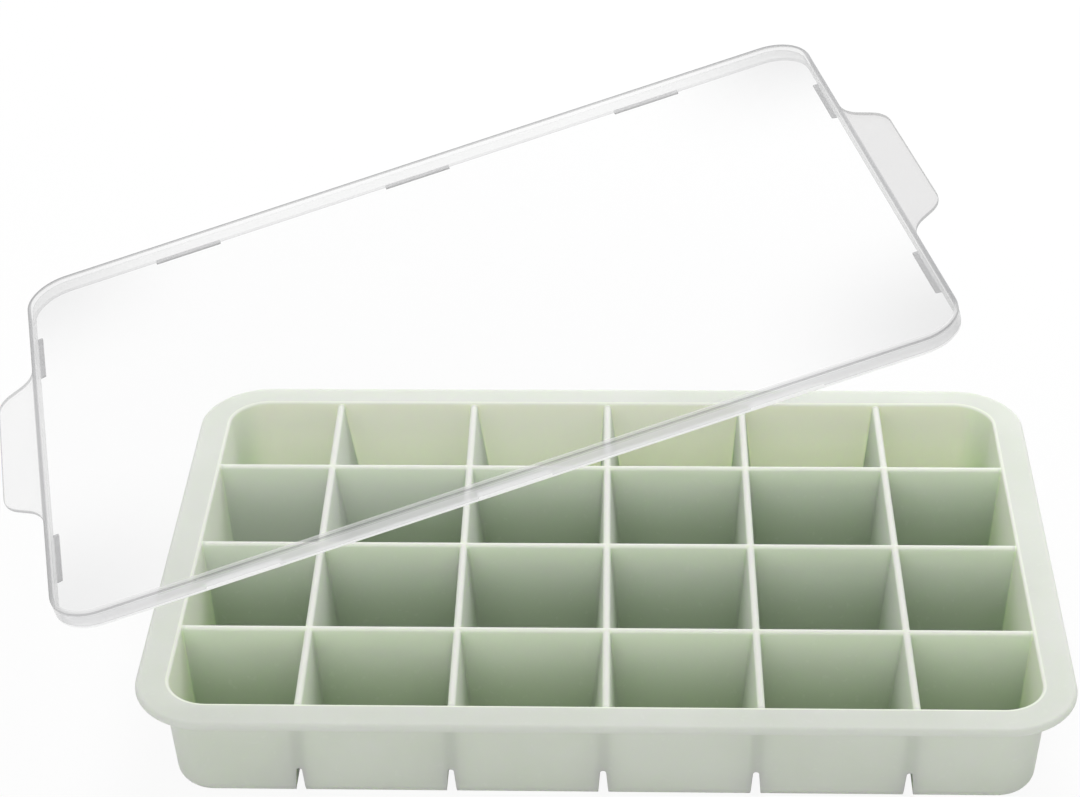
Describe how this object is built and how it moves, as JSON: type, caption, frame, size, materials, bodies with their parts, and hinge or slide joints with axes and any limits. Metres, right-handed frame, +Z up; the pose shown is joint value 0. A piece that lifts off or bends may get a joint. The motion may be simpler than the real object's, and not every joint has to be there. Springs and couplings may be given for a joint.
{
  "type": "ice cube tray with lid",
  "caption": "Soft moulded tray of square tapered cups with a flat rim, and a clear press-on lid with a pull tab at each end, held lifted and tilted above the tray.",
  "frame": {"origin": "middle of the tray's footprint, on the surface that the tray stands on", "axes": "+X to the right along the tray's length, +Y to the back across its width, +Z up"},
  "size_m": [0.2922, 0.2211, 0.1175],
  "materials": {
    "tray_silicone": "matt pale sage white silicone with a soft sheen",
    "lid_plastic": "clear, faintly frosted moulded plastic"
  },
  "bodies": {
    "tray": {"tray": "tray_silicone"},
    "lid": {"lid": "lid_plastic"}
  },
  "joints": [
    {"name": "lid_swing", "type": "hinge", "parent": "tray", "child": "lid", "pos_m": [-0.195, -0.139, 0.03], "axis": [0.1953, -0.729, 0.6561], "range_deg": [-19, 6]}
  ]
}
